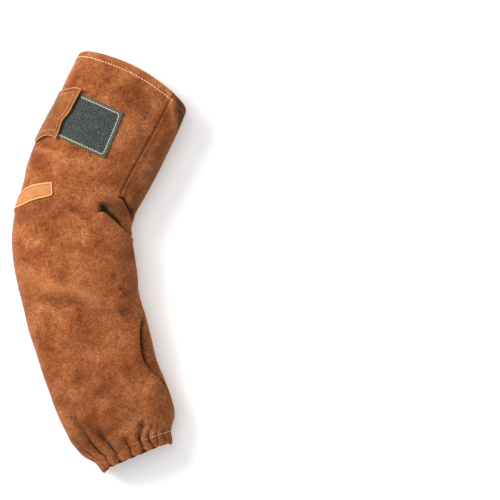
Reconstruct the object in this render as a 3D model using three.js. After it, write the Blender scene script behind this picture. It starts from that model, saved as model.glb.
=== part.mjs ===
// Leather welding sleeve, empty, lying on a floor with its elbow bent.
// Millimetres. +Z is up, +Y points to the upper arm, +X is the inner side of the bend.
// A place on the leather is given by two numbers:
//   along: distance down the arm's middle line, from the upper opening to the wrist.
//   turn: degrees of the way round, 0 at the inner side, 90 on top, 180 at the outer side, 270 below.

import * as THREE from 'three';

// Middle line of the arm, seen from above: a straight upper arm, an elbow arc, a straight forearm.
const MIDDLE_START_X = 43.0;
const MIDDLE_START_Y = 231.8;
const UPPER_ARM_TILT = 27.0;
const UPPER_ARM_RUN = 131;
const ELBOW_RADIUS = 190;
const FOREARM_TILT = 17.5;
const SLEEVE_LENGTH = 520.5;

// Cross sections down the arm. outer and inner are the reaches to both sides of the middle line,
// height is the loft above the floor and lift is the gap under the leather.
const SECTIONS = [
  { along: -20, outer: 79.5, inner: 78.0, height: 74, lift: 0 },
  { along: 0, outer: 79.5, inner: 79.0, height: 75, lift: 0 },
  { along: 30, outer: 79.5, inner: 81.5, height: 77, lift: 0 },
  { along: 60, outer: 77.5, inner: 82.0, height: 79, lift: 0 },
  { along: 90, outer: 78.0, inner: 82.5, height: 79, lift: 0 },
  { along: 120, outer: 78.0, inner: 82.0, height: 78, lift: 0 },
  { along: 150, outer: 75.0, inner: 80.0, height: 77, lift: 0 },
  { along: 165, outer: 72.5, inner: 79.0, height: 76, lift: 0 },
  { along: 180, outer: 73.0, inner: 79.0, height: 75, lift: 0 },
  { along: 195, outer: 75.0, inner: 78.5, height: 75, lift: 0 },
  { along: 225, outer: 76.5, inner: 80.5, height: 76, lift: 0 },
  { along: 255, outer: 75.5, inner: 81.5, height: 77, lift: 0 },
  { along: 285, outer: 76.5, inner: 79.0, height: 76, lift: 0 },
  { along: 315, outer: 79.0, inner: 72.5, height: 74, lift: 0 },
  { along: 345, outer: 78.5, inner: 72.0, height: 72, lift: 0 },
  { along: 375, outer: 78.5, inner: 70.5, height: 70, lift: 0 },
  { along: 405, outer: 77.5, inner: 68.5, height: 68, lift: 0 },
  { along: 435, outer: 76.0, inner: 71.0, height: 66, lift: 0 },
  { along: 460, outer: 72.5, inner: 71.5, height: 63, lift: 0 },
  { along: 480, outer: 68.5, inner: 68.5, height: 60, lift: 1 },
  { along: 497, outer: 58.5, inner: 58.5, height: 54, lift: 4 },
  { along: 508, outer: 48.0, inner: 56.0, height: 51, lift: 5 },
  { along: 524, outer: 42.0, inner: 52.5, height: 49, lift: 5 },
];
const SIDE_HEIGHT = 0.44;
const ROUNDNESS = 2.35;
const FLOOR_SPREAD = 1.22;

// The upper opening leans back as it rises, with a crown on top. The wrist end is cut at a slant,
// and its elastic draws the leather in between the two side edges.
const HEM_LEAN = 0.417;
const HEM_SLANT = -0.02;
const HEM_CROWN = 3.5;
const HEM_LEAN_REACH = 90;
const CUFF_DRAW = 5.5;
const CUFF_SLANT = 0.1;
const CUFF_SLANT_REACH = 60;

// Leather and its doubled edges.
const WALL = 1.5;
const HEM_WALL = 3.0;
const HEM_DEPTH = 9;
const CUFF_WALL = 3.0;
const CUFF_STITCH = 501.3;

// The long seam that closes the tube.
const SEAM_LINE = [
  { along: -20, turn: 39 },
  { along: -7, turn: 40 },
  { along: 20, turn: 41.5 },
  { along: 57, turn: 44 },
  { along: 81, turn: 45 },
  { along: 107, turn: 45.5 },
  { along: 122, turn: 45.3 },
  { along: 136, turn: 44.6 },
  { along: 150, turn: 38 },
  { along: 180, turn: 16 },
  { along: 240, turn: 3 },
  { along: 300, turn: 4 },
  { along: 335, turn: 13 },
  { along: 378, turn: 32 },
  { along: 403, turn: 30 },
  { along: 430, turn: 15 },
  { along: 470, turn: 6 },
  { along: 524, turn: 4 },
];
const SEAM_GROOVE = 0.9;
const SEAM_HALF_WIDTH = 1.3;

// Tucks. Each bends from one place past another to a third, with [along, turn] for each place.
// The leather sinks by depth over the ramp, turns back up over the lip and stands proud by roll.
const TUCKS = [
  { from: [134, 47], past: [148, 24], to: [204, -2], depth: 12, ramp: 20, lip: 9, roll: 2.2 },
  { from: [166, 66], past: [180, 27], to: [232, 6], depth: 13, ramp: 24, lip: 9.5, roll: 3 },
  { from: [206, 15], past: [236, 12], to: [268, 17], depth: 3.5, ramp: 12, lip: 5, roll: 1 },
  { from: [294, 46], past: [309, 32], to: [338, 6], depth: 4.5, ramp: 20, lip: 8, roll: 1.6 },
  { from: [326, 8], past: [396, 52], to: [436, 4], depth: 8, ramp: 22, lip: 7, roll: 1.5 },
];
const TUCK_FADE = 0.16;
const TUCK_STEPS = 14;
const MM_PER_DEGREE = 1.05;

// Soft dents (depth over 0) and swells (depth under 0). reach is along the arm, spread is round it.
const DENTS = [
  { along: 16, turn: 77, reach: 9, spread: 15, swing: 30, depth: 1.6 },
  { along: 50, turn: 60, reach: 15, spread: 7, swing: 20, depth: 2.2 },
  { along: 129, turn: 148, reach: 6, spread: 24, swing: 12, depth: 1.8 },
  { along: 162, turn: 64, reach: 9, spread: 7, swing: 0, depth: 3.5 },
  { along: 165, turn: 40, reach: 9, spread: 13, swing: 0, depth: -2 },
  { along: 186, turn: 110, reach: 11, spread: 42, swing: 0, depth: 3.4 },
  { along: 215, turn: 62, reach: 30, spread: 30, swing: 0, depth: -2.2 },
  { along: 278, turn: 117, reach: 9, spread: 44, swing: 24, depth: -2.4 },
  { along: 297, turn: 105, reach: 9, spread: 46, swing: 20, depth: 3.2 },
  { along: 288, turn: 40, reach: 7, spread: 6, swing: 0, depth: 2.4 },
  { along: 323, turn: 44, reach: 8, spread: 18, swing: 0, depth: 2 },
  { along: 358, turn: 126, reach: 8, spread: 22, swing: 0, depth: 2.2 },
  { along: 398, turn: 120, reach: 9, spread: 16, swing: 0, depth: 1.6 },
  { along: 424, turn: 96, reach: 9, spread: 22, swing: 0, depth: 1.8 },
  { along: 474, turn: 100, reach: 7, spread: 18, swing: 0, depth: 2 },
];

// Gathers of the elastic wrist. turn is where a gather crosses the stitch row, drift is how much
// further round it starts, start is how far up the arm it begins, and kink is how much further
// round it ends.
const GATHERS = [
  { turn: 5, drift: 2, start: 482, kink: 2, depth: 3, width: 4 },
  { turn: 26, drift: 6, start: 486, kink: -3, depth: 2.6, width: 4 },
  { turn: 40, drift: -4, start: 484, kink: 3, depth: 2, width: 3 },
  { turn: 54, drift: -1, start: 483, kink: -3, depth: 4, width: 4 },
  { turn: 69.5, drift: -9, start: 466, kink: 2, depth: 5.6, width: 4.5 },
  { turn: 91, drift: 0, start: 480, kink: 5, depth: 4, width: 4 },
  { turn: 116.5, drift: 9, start: 453, kink: 6, depth: 5.4, width: 5 },
  { turn: 139.5, drift: 13, start: 385, kink: 5, depth: 4.8, width: 5.5 },
  { turn: 157, drift: 3, start: 452, kink: 1, depth: 3.6, width: 5 },
  { turn: 174, drift: 3, start: 470, kink: 2, depth: 3.4, width: 5 },
  { turn: 192, drift: 3, start: 474, kink: -2, depth: 2.8, width: 5 },
  { turn: 210, drift: -4, start: 466, kink: 2, depth: 3, width: 5 },
  { turn: 231, drift: 4, start: 480, kink: -2, depth: 2.4, width: 4 },
  { turn: 253, drift: -2, start: 474, kink: 2, depth: 2.6, width: 4 },
  { turn: 275, drift: 3, start: 480, kink: -2, depth: 2.4, width: 4 },
  { turn: 297, drift: -4, start: 472, kink: 2, depth: 2.6, width: 4 },
  { turn: 319, drift: 3, start: 478, kink: -2, depth: 2.6, width: 4 },
  { turn: 341, drift: -2, start: 470, kink: 2, depth: 3.2, width: 5 },
];

// Rings down the arm, closer together at the tucks and the gathers, and points round each ring.
const RING_STRETCHES = [
  { from: 0, to: 9, steps: 1 },
  { from: 9, to: 121, steps: 5 },
  { from: 121, to: 238, steps: 13 },
  { from: 238, to: 371, steps: 9 },
  { from: 371, to: 451, steps: 4 },
  { from: 451, to: 501.3, steps: 5 },
  { from: 501.3, to: SLEEVE_LENGTH, steps: 3 },
];
const POINTS_ROUND = 64;
const POINTS_ON_TOP = 44;
const TOP_SPAN = 190;

// Sewn pieces. Each gap is the rise of a piece's underside above the leather.
const SEAT = 0.45;
const LOOP = { top: 40, bottom: 103, nearTurn: 84.5, farTurn: 149, skew: 4, slope: 3.5, thickness: 1.7 };
const HOOK = { top: 44, bottom: 102, nearTurn: 143, farTurn: 159, slide: 8, thickness: 1.0 };
const TAB = { freeTurn: 140, rootTurn: 206, freeTop: 37, freeBottom: 109.5, slide: 15, thickness: 1.7 };
const LABEL = { endTurn: 124, hiddenTurn: 194, endAlong: 163.2, slope: 0.47, levelOff: 14,
  width: 14, thickness: 1.4 };

function smooth(share) {
  const held = Math.min(1, Math.max(0, share));
  return held * held * (3 - 2 * held);
}

function bell(distance, width) {
  return Math.exp(-((distance / width) ** 2));
}

// A smooth curve through one column of a table, read at a place along the arm.
function readTable(table, column, along) {
  const last = table.length - 1;
  let row = 0;
  while (row < last - 1 && along > table[row + 1].along) {
    row += 1;
  }
  const slopeAt = (index) => {
    const before = table[Math.max(0, index - 1)];
    const after = table[Math.min(last, index + 1)];
    return (after[column] - before[column]) / (after.along - before.along);
  };
  const start = table[row];
  const end = table[row + 1];
  const span = end.along - start.along;
  const t = Math.min(1, Math.max(0, (along - start.along) / span));
  const startPart = (2 * t ** 3 - 3 * t ** 2 + 1) * start[column];
  const endPart = (3 * t ** 2 - 2 * t ** 3) * end[column];
  const startSlope = (t ** 3 - 2 * t ** 2 + t) * span * slopeAt(row);
  const endSlope = (t ** 3 - t ** 2) * span * slopeAt(row + 1);
  return startPart + endPart + startSlope + endSlope;
}

// Place of the middle line, with the direction toward the inner side of the bend.
function middleLine(along) {
  const bend = THREE.MathUtils.degToRad(UPPER_ARM_TILT + FOREARM_TILT);
  const startHeading = -THREE.MathUtils.degToRad(UPPER_ARM_TILT);
  const onArc = Math.min(bend, Math.max(0, (along - UPPER_ARM_RUN) / ELBOW_RADIUS));
  const heading = startHeading + onArc;
  const straightUpper = Math.min(along, UPPER_ARM_RUN);
  const straightFore = Math.max(0, along - UPPER_ARM_RUN - ELBOW_RADIUS * bend);
  const arcX = ELBOW_RADIUS * (Math.cos(startHeading) - Math.cos(heading));
  const arcY = ELBOW_RADIUS * (Math.sin(startHeading) - Math.sin(heading));
  return {
    x: MIDDLE_START_X + straightUpper * Math.sin(startHeading) + arcX + straightFore * Math.sin(heading),
    y: MIDDLE_START_Y - straightUpper * Math.cos(startHeading) + arcY - straightFore * Math.cos(heading),
    sideX: Math.cos(heading),
    sideY: Math.sin(heading),
  };
}

// Outline of one cross section: a flattened round that spreads where it meets the floor.
function makeOutline(along) {
  const outer = readTable(SECTIONS, 'outer', along);
  const inner = readTable(SECTIONS, 'inner', along);
  const height = readTable(SECTIONS, 'height', along);
  const lift = readTable(SECTIONS, 'lift', along);
  const power = 2 / ROUNDNESS;
  const side = SIDE_HEIGHT * height;
  const points = [];
  let length = 0;
  for (let degree = 0; degree <= 360; degree += 2) {
    const angle = THREE.MathUtils.degToRad(degree);
    const c = Math.cos(angle);
    const s = Math.sin(angle);
    const wide = Math.sign(c) * Math.abs(c) ** power;
    const tall = Math.abs(s) ** power;
    const across = (inner - outer) / 2 + ((inner + outer) / 2) * wide;
    const above = side + (height - side) * tall;
    const below = Math.max(0, side * (1 - FLOOR_SPREAD * tall));
    const level = degree <= 180 ? above : below;
    const up = level + lift * (1 - level / height);
    const previous = points[points.length - 1];
    length += previous ? Math.hypot(across - previous.across, up - previous.up) : 0;
    points.push({ across, up, length });
  }
  return points;
}

const OUTLINES = new Map();

function sectionOutline(along) {
  if (!OUTLINES.has(along)) {
    OUTLINES.set(along, makeOutline(along));
  }
  return OUTLINES.get(along);
}

// Place on the section outline, with the outward direction there.
function sectionSpot(along, turn) {
  const points = sectionOutline(along);
  const wanted = (THREE.MathUtils.euclideanModulo(turn, 360) / 360) * points[points.length - 1].length;
  let index = 1;
  while (index < points.length - 1 && points[index].length < wanted) {
    index += 1;
  }
  const before = points[index - 1];
  const after = points[index];
  const share = (wanted - before.length) / (after.length - before.length);
  const earlier = points[Math.max(0, index - 3)];
  const later = points[Math.min(points.length - 1, index + 2)];
  const chord = Math.hypot(later.across - earlier.across, later.up - earlier.up);
  return {
    across: before.across + (after.across - before.across) * share,
    up: before.up + (after.up - before.up) * share,
    outAcross: (later.up - earlier.up) / chord,
    outUp: -(later.across - earlier.across) / chord,
  };
}

// The bent line of a tuck, laid out flat in millimetres.
function tuckLine(tuck) {
  const line = [];
  for (let step = 0; step <= TUCK_STEPS; step += 1) {
    const t = step / TUCK_STEPS;
    const weights = [(1 - t) ** 2, 2 * t * (1 - t), t ** 2];
    const places = [tuck.from, tuck.past, tuck.to];
    const along = weights.reduce((sum, weight, index) => sum + weight * places[index][0], 0);
    const turn = weights.reduce((sum, weight, index) => sum + weight * places[index][1], 0);
    line.push(new THREE.Vector2(along, turn * MM_PER_DEGREE));
  }
  return line;
}

const TUCK_LINES = TUCKS.map(tuckLine);

// Signed distance to a tuck's line, over 0 on its lip side, and the share of the line passed there.
function distanceToTuck(line, along, turn) {
  const place = new THREE.Vector2(along, turn * MM_PER_DEGREE);
  let nearest = { size: Infinity, gap: 0, share: 0 };
  for (let index = 0; index < line.length - 1; index += 1) {
    const step = line[index + 1].clone().sub(line[index]);
    const offset = place.clone().sub(line[index]);
    const t = Math.min(1, Math.max(0, offset.dot(step) / step.lengthSq()));
    const size = offset.clone().sub(step.clone().multiplyScalar(t)).length();
    if (size < nearest.size) {
      const side = Math.sign(step.x * offset.y - step.y * offset.x);
      nearest = { size, gap: side * size, share: (index + t) / (line.length - 1) };
    }
  }
  return nearest;
}

function tuckRelief(along, turn) {
  const nearTurn = turn > 200 ? turn - 360 : turn;
  return TUCKS.reduce((sum, tuck, index) => {
    const { gap, share } = distanceToTuck(TUCK_LINES[index], along, nearTurn);
    const ends = smooth(share / TUCK_FADE) * smooth((1 - share) / TUCK_FADE);
    const rampPart = Math.max(0, 1 + gap / tuck.ramp) ** 2;
    const sunk = gap < 0 ? rampPart : smooth(1 - gap / tuck.lip);
    const proud = bell(gap - tuck.lip - 5, 8);
    return sum + ends * (tuck.roll * proud - tuck.depth * sunk);
  }, 0);
}

function dentRelief(along, turn) {
  return DENTS.reduce((sum, dent) => {
    const swing = THREE.MathUtils.degToRad(dent.swing);
    const down = along - dent.along;
    const round = (turn - dent.turn) * MM_PER_DEGREE;
    const alongPart = down * Math.cos(swing) + round * Math.sin(swing);
    const roundPart = round * Math.cos(swing) - down * Math.sin(swing);
    return sum - dent.depth * bell(alongPart, dent.reach) * bell(roundPart, dent.spread);
  }, 0);
}

function gatherRelief(along, turn) {
  return GATHERS.reduce((sum, gather) => {
    const grown = smooth((along - gather.start) / (CUFF_STITCH - 4 - gather.start));
    const inChannel = smooth((along - CUFF_STITCH) / 12);
    const centre = gather.turn + gather.drift * (1 - grown) ** 1.5 + gather.kink * inChannel;
    const turnGap = THREE.MathUtils.euclideanModulo(turn - centre + 180, 360) - 180;
    const mmPerDegree = along > CUFF_STITCH ? 0.72 : 0.8;
    return sum - gather.depth * grown * bell(turnGap * mmPerDegree, gather.width);
  }, 0);
}

// How far the leather stands from the plain section. Nothing stirs where it rests on the floor.
function relief(along, turn, up) {
  const free = smooth((up - 0.5) / 9);
  return free * (tuckRelief(along, turn) + dentRelief(along, turn) + gatherRelief(along, turn));
}

// Point on the outside of the leather, or at a rise above it.
function skinPoint(along, turn, rise) {
  const spot = sectionSpot(along, turn);
  const line = middleLine(along);
  const out = relief(along, turn, spot.up) + rise;
  const across = spot.across + spot.outAcross * out;
  const up = Math.max(0, spot.up + spot.outUp * out);
  return new THREE.Vector3(line.x + line.sideX * across, line.y + line.sideY * across, up);
}

// Where a ring crosses a given turn, with the lean of the hem and the slant of the cuff.
function ringPlace(ring, turn) {
  const spot = sectionSpot(ring, turn);
  const height = readTable(SECTIONS, 'height', ring);
  const side = SIDE_HEIGHT * height;
  const risen = (spot.up - side) / (height - side);
  const hemShare = Math.max(0, 1 - ring / HEM_LEAN_REACH) ** 2;
  const cuffShare = Math.max(0, 1 - (SLEEVE_LENGTH - ring) / CUFF_SLANT_REACH) ** 2;
  const crown = HEM_CROWN * bell(spot.across, 45) * Math.max(0, risen);
  const hemShift = HEM_LEAN * (spot.up - side) + HEM_SLANT * spot.across + crown;
  const cuffShift = CUFF_DRAW * Math.abs(risen) + CUFF_SLANT * spot.across;
  return ring - hemShift * hemShare - cuffShift * cuffShare;
}

function ringStations() {
  const stations = [RING_STRETCHES[0].from];
  for (const { from, to, steps } of RING_STRETCHES) {
    for (let step = 1; step <= steps; step += 1) {
      stations.push(from + ((to - from) * step) / steps);
    }
  }
  return stations;
}

// Turns of the points round a ring: three follow the seam, most of the others lie on top and the rest
// are spread over the outer side and the underside.
function ringTurns(ring) {
  const seam = readTable(SEAM_LINE, 'turn', ring);
  const turns = [seam - SEAM_HALF_WIDTH, seam, seam + SEAM_HALF_WIDTH];
  const topStart = seam + SEAM_HALF_WIDTH;
  for (let index = 1; index <= POINTS_ON_TOP; index += 1) {
    turns.push(topStart + (TOP_SPAN * index) / POINTS_ON_TOP);
  }
  const below = POINTS_ROUND - 3 - POINTS_ON_TOP;
  const belowSpan = 360 - 2 * SEAM_HALF_WIDTH - TOP_SPAN;
  for (let index = 1; index <= below; index += 1) {
    turns.push(topStart + TOP_SPAN + (belowSpan * index) / (below + 1));
  }
  return turns;
}

function wallAt(ring) {
  if (ring < HEM_DEPTH + 1) {
    return HEM_WALL;
  }
  return ring > CUFF_STITCH - 1 ? CUFF_WALL : WALL;
}

function addQuad(triangles, a, b, c, d) {
  triangles.push(a, b, c, a, c, d);
}

// Splits a quad on the diagonal that lies nearer to the leather in its middle, so folds stay clean.
function addSkinQuad(triangles, points, corners, middle) {
  const [a, b, c, d] = corners;
  const missOf = (first, second) => points[first].clone().lerp(points[second], 0.5).distanceTo(middle);
  if (missOf(a, c) <= missOf(b, d)) {
    addQuad(triangles, a, b, c, d);
  } else {
    addQuad(triangles, b, c, d, a);
  }
}

function makeGeometry(points, triangles) {
  const geometry = new THREE.BufferGeometry();
  const positions = points.flatMap((point) => [point.x, point.y, point.z]);
  geometry.setAttribute('position', new THREE.Float32BufferAttribute(positions, 3));
  geometry.setIndex(triangles);
  geometry.computeVertexNormals();
  return geometry;
}

// The tube: an outer skin, an inner skin one wall inside it and a rim at each opening.
function sleeveShell() {
  const rings = ringStations();
  const outside = [];
  for (const ring of rings) {
    ringTurns(ring).forEach((turn, index) => {
      const groove = index === 1 ? -SEAM_GROOVE : 0;
      outside.push(skinPoint(ringPlace(ring, turn), turn, groove));
    });
  }
  const skinFaces = [];
  for (let ring = 0; ring < rings.length - 1; ring += 1) {
    const halfway = (rings[ring] + rings[ring + 1]) / 2;
    const turns = ringTurns(halfway);
    for (let index = 0; index < POINTS_ROUND; index += 1) {
      const next = (index + 1) % POINTS_ROUND;
      const here = ring * POINTS_ROUND;
      const below = here + POINTS_ROUND;
      const turn = (turns[index] + turns[next] + (next === 0 ? 360 : 0)) / 2;
      const middle = skinPoint(ringPlace(halfway, turn), turn, 0);
      addSkinQuad(skinFaces, outside, [here + index, here + next, below + next, below + index], middle);
    }
  }
  const normals = makeGeometry(outside, skinFaces).getAttribute('normal');
  const inside = outside.map((point, index) => {
    const normal = new THREE.Vector3().fromBufferAttribute(normals, index);
    const wall = wallAt(rings[Math.floor(index / POINTS_ROUND)]);
    return point.clone().addScaledVector(normal, -wall);
  });
  const count = outside.length;
  const faces = [...skinFaces];
  for (let index = 0; index < skinFaces.length; index += 3) {
    faces.push(count + skinFaces[index], count + skinFaces[index + 2], count + skinFaces[index + 1]);
  }
  const lastRing = (rings.length - 1) * POINTS_ROUND;
  for (let index = 0; index < POINTS_ROUND; index += 1) {
    const next = (index + 1) % POINTS_ROUND;
    addQuad(faces, index, count + index, count + next, next);
    addQuad(faces, lastRing + index, lastRing + next, count + lastRing + next, count + lastRing + index);
  }
  return makeGeometry([...outside, ...inside], faces);
}

// A flat piece laid on the leather. place gives along, turn and rise for shares u and v of the piece.
function layPiece(uSteps, vSteps, thickness, place) {
  const under = [];
  const over = [];
  for (let row = 0; row <= vSteps; row += 1) {
    for (let column = 0; column <= uSteps; column += 1) {
      const { along, turn, rise } = place(column / uSteps, row / vSteps);
      under.push(skinPoint(along, turn, rise));
      over.push(skinPoint(along, turn, rise + thickness));
    }
  }
  const columns = uSteps + 1;
  const count = under.length;
  const faces = [];
  for (let row = 0; row < vSteps; row += 1) {
    for (let column = 0; column < uSteps; column += 1) {
      const corner = row * columns + column;
      const corners = [corner, corner + 1, corner + 1 + columns, corner + columns];
      addQuad(faces, ...corners.map((index) => index + count));
      addQuad(faces, ...corners.reverse());
    }
  }
  const border = [];
  for (let column = 0; column < uSteps; column += 1) {
    border.push(column);
  }
  for (let row = 0; row < vSteps; row += 1) {
    border.push(row * columns + uSteps);
  }
  for (let column = uSteps; column > 0; column -= 1) {
    border.push(vSteps * columns + column);
  }
  for (let row = vSteps; row > 0; row -= 1) {
    border.push(row * columns);
  }
  border.forEach((index, position) => {
    const next = border[(position + 1) % border.length];
    addQuad(faces, index, next, next + count, index + count);
  });
  return makeGeometry([...under, ...over], faces);
}

// The loop patch keeps its straight edges; its near edge is a little skewed.
function loopPatch() {
  return layPiece(12, 6, LOOP.thickness, (u, v) => ({
    along: LOOP.top + (LOOP.bottom - LOOP.top) * v + LOOP.slope * u,
    turn: LOOP.nearTurn + (LOOP.farTurn - LOOP.nearTurn) * u - LOOP.skew * v * (1 - u),
    rise: SEAT,
  }));
}

function hookPatch() {
  return layPiece(4, 6, HOOK.thickness, (u, v) => ({
    along: HOOK.top + (HOOK.bottom - HOOK.top) * v + HOOK.slide * u,
    turn: HOOK.nearTurn + (HOOK.farTurn - HOOK.nearTurn) * u,
    rise: SEAT + LOOP.thickness + 0.4,
  }));
}

// The closing tab slides toward the wrist as it goes round, and rides over both fastener pieces.
function closingTab() {
  const onTop = SEAT + LOOP.thickness + HOOK.thickness + 0.8;
  return layPiece(16, 8, TAB.thickness, (u, v) => {
    const slid = TAB.slide * smooth(u * 2);
    const bow = 3.5 * Math.sin(Math.PI * Math.min(1, u * 2.6)) * v;
    const freeEdge = 3 * Math.sin(Math.PI * v) - 1.5 * (1 - v) - 2.6 * bell(v - 0.36, 0.17);
    const top = TAB.freeTop + slid;
    const bottom = TAB.freeBottom + slid - bow;
    const raised = 1 - smooth((u - 0.26) / 0.3);
    return {
      along: top + (bottom - top) * v,
      turn: TAB.freeTurn + freeEdge * (1 - u) + (TAB.rootTurn - TAB.freeTurn) * u,
      rise: SEAT + (onTop - SEAT) * raised,
    };
  });
}

function labelPatch() {
  return layPiece(14, 3, LABEL.thickness, (u, v) => {
    const turn = LABEL.endTurn + (LABEL.hiddenTurn - LABEL.endTurn) * u;
    const across = (v - 0.5) * LABEL.width;
    const climb = LABEL.slope * (turn - LABEL.endTurn - LABEL.levelOff * smooth((turn - 150) / 44));
    return { along: LABEL.endAlong + climb + across, turn: turn - 0.35 * across, rise: SEAT };
  });
}

const RUST_SUEDE = new THREE.MeshStandardMaterial({ color: 0xa56440, roughness: 0.95 });
const TAB_LEATHER = new THREE.MeshStandardMaterial({ color: 0xa8663c, roughness: 0.85 });
const LOOP_FABRIC = new THREE.MeshStandardMaterial({ color: 0x515552, roughness: 1.0 });
const HOOK_FABRIC = new THREE.MeshStandardMaterial({ color: 0x2e3030, roughness: 0.8 });
const LABEL_LEATHER = new THREE.MeshStandardMaterial({ color: 0xdb9458, roughness: 0.7 });

const PIECES = [
  { name: 'sleeve_shell', geometry: sleeveShell(), material: RUST_SUEDE },
  { name: 'loop_patch', geometry: loopPatch(), material: LOOP_FABRIC },
  { name: 'hook_patch', geometry: hookPatch(), material: HOOK_FABRIC },
  { name: 'closing_tab', geometry: closingTab(), material: TAB_LEATHER },
  { name: 'label_patch', geometry: labelPatch(), material: LABEL_LEATHER },
];

const sleeve = new THREE.Group();
sleeve.name = 'welding_sleeve';
for (const { name, geometry, material } of PIECES) {
  const mesh = new THREE.Mesh(geometry, material);
  mesh.name = name;
  sleeve.add(mesh);
}

export default sleeve;
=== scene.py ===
# %% [markdown]
# # A leather welding sleeve, laid on a pale table
#
# The real sleeve is one panel of split leather, sewn along its length into a tube. Its upper end is
# turned in and stitched, its wrist end has a channel with elastic, and a leather tab with a hook and
# loop fastener closes the upper arm. This lesson builds each of those pieces over a plain model of the
# same sleeve that is already at its real size, and then gives each one its surface.

# %% Load the plain sleeve
import math

import bmesh
import bpy
import numpy as np
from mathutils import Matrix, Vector, noise


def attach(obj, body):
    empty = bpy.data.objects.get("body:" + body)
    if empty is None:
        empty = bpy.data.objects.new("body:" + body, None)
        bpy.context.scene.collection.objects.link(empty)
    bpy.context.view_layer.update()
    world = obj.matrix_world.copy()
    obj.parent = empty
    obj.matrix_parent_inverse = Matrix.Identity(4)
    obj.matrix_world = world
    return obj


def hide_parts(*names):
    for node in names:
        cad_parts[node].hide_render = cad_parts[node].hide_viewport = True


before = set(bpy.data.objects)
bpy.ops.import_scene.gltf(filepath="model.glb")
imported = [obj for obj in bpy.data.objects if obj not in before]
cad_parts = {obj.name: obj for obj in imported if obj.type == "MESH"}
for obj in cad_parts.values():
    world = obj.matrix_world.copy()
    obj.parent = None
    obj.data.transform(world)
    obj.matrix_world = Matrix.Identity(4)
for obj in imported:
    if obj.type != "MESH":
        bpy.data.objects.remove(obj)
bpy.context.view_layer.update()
MM = 0.001

# %% [markdown]
# ## The form of the sleeve
#
# A sleeve that bends could be pulled from a straight tube with a curve modifier, but then its folds
# would be stretched. It is easier to say where any point of the leather lies. Two numbers name a place
# on the leather: how far along the arm it is, in millimetres, and how far round, in degrees, with 0 at
# the inner side of the bend, 90 on top and 180 at the outer side. The middle line gives the bend, and a
# table of cross sections gives the width and the loft.

# %% Middle line of the arm
MIDDLE_START = (43.0, 231.8)
UPPER_ARM_TILT = 27.0
UPPER_ARM_RUN = 131.0
ELBOW_RADIUS = 190.0
FOREARM_TILT = 17.5
SLEEVE_LENGTH = 520.5


def middle_line(along):
    """Place of the middle line and the direction to the inner side, for an array of places."""
    bend = math.radians(UPPER_ARM_TILT + FOREARM_TILT)
    start = -math.radians(UPPER_ARM_TILT)
    heading = start + np.clip((along - UPPER_ARM_RUN) / ELBOW_RADIUS, 0, bend)
    upper = np.minimum(along, UPPER_ARM_RUN)
    fore = np.maximum(0, along - UPPER_ARM_RUN - ELBOW_RADIUS * bend)
    x = MIDDLE_START[0] + upper * math.sin(start) + ELBOW_RADIUS * (math.cos(start) - np.cos(heading))
    y = MIDDLE_START[1] - upper * math.cos(start) + ELBOW_RADIUS * (math.sin(start) - np.sin(heading))
    return x + fore * np.sin(heading), y - fore * np.cos(heading), np.cos(heading), np.sin(heading)


print("middle line ends at", [round(float(part), 1) for part in middle_line(np.array(SLEEVE_LENGTH))[:2]])

# %% Cross sections
# along, reach to the outer side, reach to the inner side, height, gap under the leather
SECTIONS = np.array([
    (-20, 79.5, 78.0, 74, 0),
    (0, 79.5, 79.0, 75, 0),
    (30, 79.5, 81.5, 77, 0),
    (60, 77.5, 82.0, 79, 0),
    (90, 78.0, 82.5, 79, 0),
    (120, 78.0, 82.0, 78, 0),
    (150, 75.0, 80.0, 77, 0),
    (165, 72.5, 79.0, 76, 0),
    (180, 73.0, 79.0, 75, 0),
    (195, 75.0, 78.5, 75, 0),
    (225, 76.5, 80.5, 76, 0),
    (255, 75.5, 81.5, 77, 0),
    (285, 76.5, 79.0, 76, 0),
    (315, 79.0, 72.5, 74, 0),
    (345, 78.5, 72.0, 72, 0),
    (375, 78.5, 70.5, 70, 0),
    (405, 77.5, 68.5, 68, 0),
    (435, 76.0, 71.0, 66, 0),
    (460, 72.5, 71.5, 63, 0),
    (480, 68.5, 68.5, 60, 1),
    (497, 58.5, 58.5, 54, 4),
    (508, 48.0, 56.0, 51, 5),
    (524, 42.0, 52.5, 49, 5),
], float)
SIDE_HEIGHT = 0.44
ROUNDNESS = 2.35
FLOOR_SPREAD = 1.22
SECTION_STEP = 2
CHORD_HALF = 2.5


def smooth(share):
    """0 below 0, 1 above 1, and a soft step between."""
    held = np.clip(share, 0, 1)
    return held * held * (3 - 2 * held)


def bell(distance, width):
    """1 at distance 0, falling off softly on both sides."""
    return np.exp(-((distance / width) ** 2))


def read_table(table, column, along):
    """A smooth curve through one column of a table whose first column is the place along the arm."""
    places, values = table[:, 0], table[:, column]
    slopes = np.empty(len(places))
    slopes[1:-1] = (values[2:] - values[:-2]) / (places[2:] - places[:-2])
    slopes[0] = (values[1] - values[0]) / (places[1] - places[0])
    slopes[-1] = (values[-1] - values[-2]) / (places[-1] - places[-2])
    row = np.clip(np.searchsorted(places, along) - 1, 0, len(places) - 2)
    span = places[row + 1] - places[row]
    t = np.clip((along - places[row]) / span, 0, 1)
    ends = (2 * t**3 - 3 * t**2 + 1) * values[row] + (3 * t**2 - 2 * t**3) * values[row + 1]
    bends = (t**3 - 2 * t**2 + t) * slopes[row] + (t**3 - t**2) * slopes[row + 1]
    return ends + span * bends


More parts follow.
